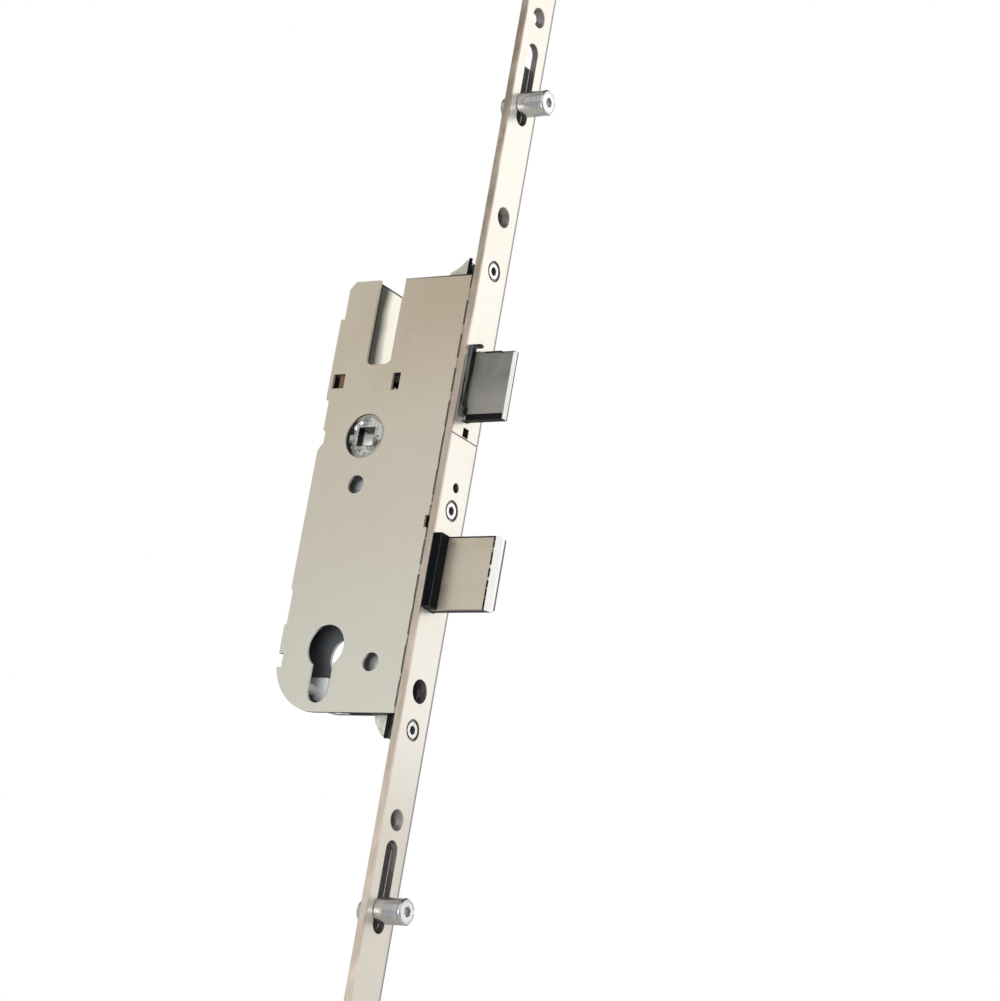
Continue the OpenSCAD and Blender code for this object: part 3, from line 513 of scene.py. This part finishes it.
def plated_bracket(name, dark, light, underside):
    """Zinc-plated bracket with a mottled tone and painted shade on its underside."""
    material, g = new_material(name)
    mottle = g.noise(260, rough=0.6)
    below = g.facing_down()
    face = g.tone(mottle, dark, light, low=0.38, high=0.62)
    # Painted shade on surfaces that face down
    g.feed(g.mix(below, face, underside), "Base Color")
    g.feed(g.either(g.varied(mottle, 0.3, 0.42), below), "Roughness")
    g.set(metallic=0.7)
    g.bump(mottle, 0.1, 0.03)
    return material


def bush_ring(name, dark, light):
    """Follower bush with painted shade, near black on its rear side, fading to pale towards the front."""
    material, g = new_material(name)
    texture = g.noise(900, rough=0.7)
    pale_tone = g.tone(texture, times(0.6, light), light)
    # Painted shade: near black towards the rear, pale towards the front
    from_rear = g.spread(g.stray("x", texture, 0.6), -6.2 * MM, -3.5 * MM)
    g.feed(g.mix(from_rear, dark, pale_tone), "Base Color")
    g.feed(g.varied(texture, 0.35, 0.5), "Roughness")
    g.set(specular_ior_level=0.25)
    g.bump(texture, 0.2, 0.03)
    return material


def socket_screw(name, dark, light, socket):
    """Bright pan head with painted shade in its socket."""
    material, g = new_material(name)
    lines = g.brushing()
    head = g.tone(lines, dark, light)
    # Painted shade in the socket, below the head's face
    painted_recess = g.ramp("x", PLATE_FRONT - 0.35, PLATE_FRONT - 0.45)
    g.feed(g.mix(painted_recess, head, socket), "Base Color")
    g.feed(g.varied(lines, 0.2, 0.3), "Roughness")
    g.set(metallic=0.8)
    g.bump(lines, 0.1, 0.02)
    return material


def cast_follower(name, dark, light, bore_shade, bore_light):
    """Cast follower with bright, pitted metal and a machined spindle hole, with painted shade at its mouth.
    """
    material, g = new_material(name)
    pits = g.noise(900, rough=0.7)
    patches = g.noise(160, rough=0.7)
    cast = g.tone(g.weigh(pits, 0.4, patches), dark, light, low=0.42, high=0.56)
    # Painted shade on the bore's walls and top near its mouth, pale beyond
    side_wall = g.mix(g.ramp("y", -4.6, -3.6), bore_shade, bore_light)
    ceiling = g.mix(g.ramp("y", -1.5, 1.5), bore_shade, bore_light)
    bore = g.mix(g.ramp("z", BORE_TOP - 0.1, BORE_TOP), side_wall, ceiling)
    in_bore = g.inside_box(*SPINDLE_HOLE, soft=0.05)
    g.feed(g.mix(in_bore, cast, bore), "Base Color")
    rougher = g.spread(in_bore, 0.0, 1.0, 1.0, 1.2)
    g.feed(g.math("MULTIPLY", g.varied(pits, 0.34, 0.2), rougher), "Roughness")
    g.feed(g.spread(in_bore, 0.0, 1.0, 0.9, 0.75), "Metallic")
    g.bump(pits, 0.3, 0.06, radius=0.3)
    return material


# Finish of each material slot
MATERIALS = {
    "case_steel": coated_sheet(
        "case_coating", dark=(0.57, 0.485, 0.375), light=(0.61, 0.53, 0.42), painted_lower_tint=(0.55, 0.52, 0.45),
        worn=(0.68, 0.65, 0.58), shade_and_seam=(0.03, 0.028, 0.026), painted_recess=(0.19, 0.2, 0.21),
        rust=(0.2, 0.11, 0.07)),
    "plate_steel": brushed_plate(
        "plate_stainless", dark=(0.86, 0.81, 0.72), light=(0.95, 0.91, 0.83),
        edge_dark=(0.41, 0.355, 0.27), edge_light=(0.72, 0.62, 0.52)),
    "plated_steel": brushed(
        "zinc_plate", dark=(0.62, 0.59, 0.5), light=(0.76, 0.73, 0.64), rough=0.34, stretch=EVEN,
        streaks=0.2),
    "zinc_casting": cast_metal("zinc_casting", dark=(0.5, 0.5, 0.48), light=(0.75, 0.75, 0.73), rough=0.3),
    "black_plastic": moulded("black_acetal", colour=(0.0025, 0.003, 0.004), rough=0.32),
    "screw_steel": socket_screw(
        "bright_screw", dark=(0.78, 0.78, 0.76), light=(0.94, 0.94, 0.92), socket=(0.3, 0.3, 0.29)),
    "spring_steel": brushed(
        "spring_wire", dark=(0.3, 0.3, 0.31), light=(0.5, 0.5, 0.51), rough=0.3, stretch=EVEN),
    "rod_steel": brushed(
        "rod_plate", dark=(0.1, 0.1, 0.095), light=(0.17, 0.165, 0.16), rough=0.42, stretch=ALONG_Z,
        metallic=0.7),
    "roller_steel": turned("turned_roller", tint=(0.86, 0.87, 0.89), rough=0.12, stretch=(1.0, 0.03, 0.03)),
    "latch_metal": sintered_latch(
        "sintered_latch", dark=(0.165, 0.162, 0.14), light=(0.32, 0.312, 0.285), tip=(0.9, 0.89, 0.86),
        band_and_shade=(0.006, 0.006, 0.007)),
    "deadbolt_metal": satin_bolt(
        "satin_bolt", dark=(0.76, 0.665, 0.53), light=(0.845, 0.75, 0.615), nose=(0.95, 0.93, 0.9),
        painted_dark=(0.015, 0.015, 0.018)),
}

# Finish of the nodes that differ from their material slot
BUSH_METAL = bore_metal(
    "bush_plate", cream=(0.95, 0.96, 0.96), shade=(0.03, 0.03, 0.025), low=-4.5, high=0.5, metallic=0.3)
NODE_MATERIALS = {
    "slot_liner": bore_metal(
        "liner_plate", cream=(0.9, 0.86, 0.75), shade=(0.06, 0.062, 0.045), low=-3.6, high=2.2,
        metallic=0.85),
    "upper_fixing_bush": BUSH_METAL,
    "lower_fixing_bush": BUSH_METAL,
    "follower": cast_follower(
        "cast_follower", dark=(0.2, 0.2, 0.19), light=(1.0, 1.0, 0.98), bore_shade=(0.012, 0.012, 0.012),
        bore_light=(0.96, 0.96, 0.94)),
    "follower_bushes": bush_ring("bush_ring", dark=PAINTED_SHADE_BLACK, light=(0.4, 0.38, 0.33)),
    # Near-white, unmetallic copy of the casting: painted light, so the corner blocks read bright in the
    # case's shade
    "case_pillars": cast_metal(
        "corner_blocks", dark=(0.8, 0.8, 0.79), light=(1.0, 1.0, 0.99), rough=0.5, metallic=0.0),
    "top_bracket": plated_bracket(
        "top_bracket_plate", dark=(0.72, 0.68, 0.59), light=(0.92, 0.88, 0.78),
        underside=(0.05, 0.05, 0.045)),
    "bottom_bracket": plated_bracket(
        "bottom_bracket_plate", dark=(0.66, 0.65, 0.57), light=(0.93, 0.92, 0.84),
        underside=(0.12, 0.115, 0.1)),
    "latch_guide": scuffed_guide(
        "latch_guide_acetal", dark=(0.003, 0.0035, 0.004), scuff=(0.11, 0.115, 0.11)),
    "latch_drawbar": brushed(
        "drawbar_plate", dark=(0.05, 0.048, 0.045), light=(0.09, 0.087, 0.08), rough=0.4, stretch=EVEN),
}


def dress_nodes():
    """Give every construction node its own finish."""
    for part in frame["record"]["subparts"]:
        obj = nodes[part["node"]]
        material = NODE_MATERIALS.get(part["node"], MATERIALS[part["material_slot"]])
        if not obj.material_slots:
            obj.data.materials.append(material)
        for slot in obj.material_slots:
            slot.material = material


def add_coil(node):
    """Stand a copy in for a spring, hung on the lock case."""
    coil = bpy.data.objects.new(node + "_coil", nodes[node].data.copy())
    bpy.context.scene.collection.objects.link(coil)
    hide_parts(node)
    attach(coil, "lock_case")
    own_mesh(coil)


def add_floor():
    mesh = bpy.data.meshes.new("floor")
    shape = bmesh.new()
    bmesh.ops.create_grid(shape, x_segments=1, y_segments=1, size=FLOOR_HALF)
    shape.to_mesh(mesh)
    shape.free()
    floor = bpy.data.objects.new("floor", mesh)
    floor.location.z = FLOOR_Z
    bpy.context.scene.collection.objects.link(floor)
    material, g = new_material("pale_floor")
    g.set(base_color=FLOOR_COLOUR, roughness=0.9)
    mesh.materials.append(material)


def add_camera():
    data = bpy.data.cameras.new("camera")
    data.sensor_fit = "HORIZONTAL"
    data.sensor_width = SENSOR_WIDTH
    data.lens = CAMERA_LENS
    data.clip_start = CLIP_NEAR
    data.clip_end = CLIP_FAR
    camera = bpy.data.objects.new("camera", data)
    az, el, roll = (math.radians(angle) for angle in (CAMERA_AZIMUTH, CAMERA_ELEVATION, CAMERA_ROLL))
    back = Vector((math.sin(az) * math.cos(el), -math.cos(az) * math.cos(el), math.sin(el)))
    level = Vector((math.cos(az), math.sin(az), 0.0))
    upright = back.cross(level)
    right = math.cos(roll) * level + math.sin(roll) * upright
    up = -math.sin(roll) * level + math.cos(roll) * upright
    turn = Matrix((right, up, back)).transposed()
    camera.matrix_world = Matrix.Translation(Vector(CAMERA_PLACE) * MM) @ turn.to_4x4()
    bpy.context.scene.collection.objects.link(camera)
    bpy.context.scene.camera = camera


def add_area_light(name, place, target, size, watts, colour=(1.0, 1.0, 1.0)):
    """Rectangular lamp at a place in metres, facing its target."""
    data = bpy.data.lights.new(name, "AREA")
    data.shape = "RECTANGLE"
    data.size, data.size_y = size
    data.energy = watts
    data.color = colour
    light = bpy.data.objects.new(name, data)
    light.location = place
    light.rotation_euler = (Vector(place) - Vector(target)).to_track_quat("Z", "Y").to_euler()
    bpy.context.scene.collection.objects.link(light)


def add_world():
    """White behind and to the right of the lock, grey on its left front, dark below and overhead."""
    white = (1.0, 1.0, 1.0)
    warm_grey = (0.5, 0.49, 0.47)
    dark_grey = (0.12, 0.12, 0.12)
    world = bpy.data.worlds.new("studio")
    bpy.context.scene.world = world
    world.use_nodes = True
    g = Graph(world.node_tree)
    x, y, z = (g.coordinate(axis, "Generated") for axis in "xyz")
    behind = g.math("ADD", g.math("MULTIPLY", x, 0.45), g.math("MULTIPLY", y, 0.9))
    around = g.mix(g.spread(behind, -0.55, 0.2), warm_grey, white)
    above_dark = g.spread(z, -0.25, 0.0)
    below_dark = g.spread(z, 0.85, 0.55)
    backdrop = g.mix(g.both(above_dark, below_dark), dark_grey, around)
    g.link(backdrop, world.node_tree.nodes["Background"].inputs["Color"])


def add_lamps():
    """A soft key beyond the faceplate, and two low lamps in front of the cover."""
    add_area_light("key_right", place=(0.80, 0.72, 0.62), target=(0.02, 0.0, -0.03), size=(0.9, 0.9),
                   watts=0.9)
    add_area_light("front_low", place=(0.3, -0.85, -0.42), target=(0.0, 0.0, -0.1), size=(0.5, 0.4),
                   watts=2.8, colour=(0.96, 0.98, 1.0))
    add_area_light("side_low", place=(0.06, -0.42, -0.28), target=(0.0, 0.0, -0.08), size=(0.28, 0.28),
                   watts=1.5, colour=(0.92, 0.97, 1.0))


dress_nodes()
add_coil("follower_spring")
add_coil("latch_spring")
add_floor()
add_camera()
add_world()
add_lamps()
bpy.context.scene.view_settings.view_transform = "Standard"
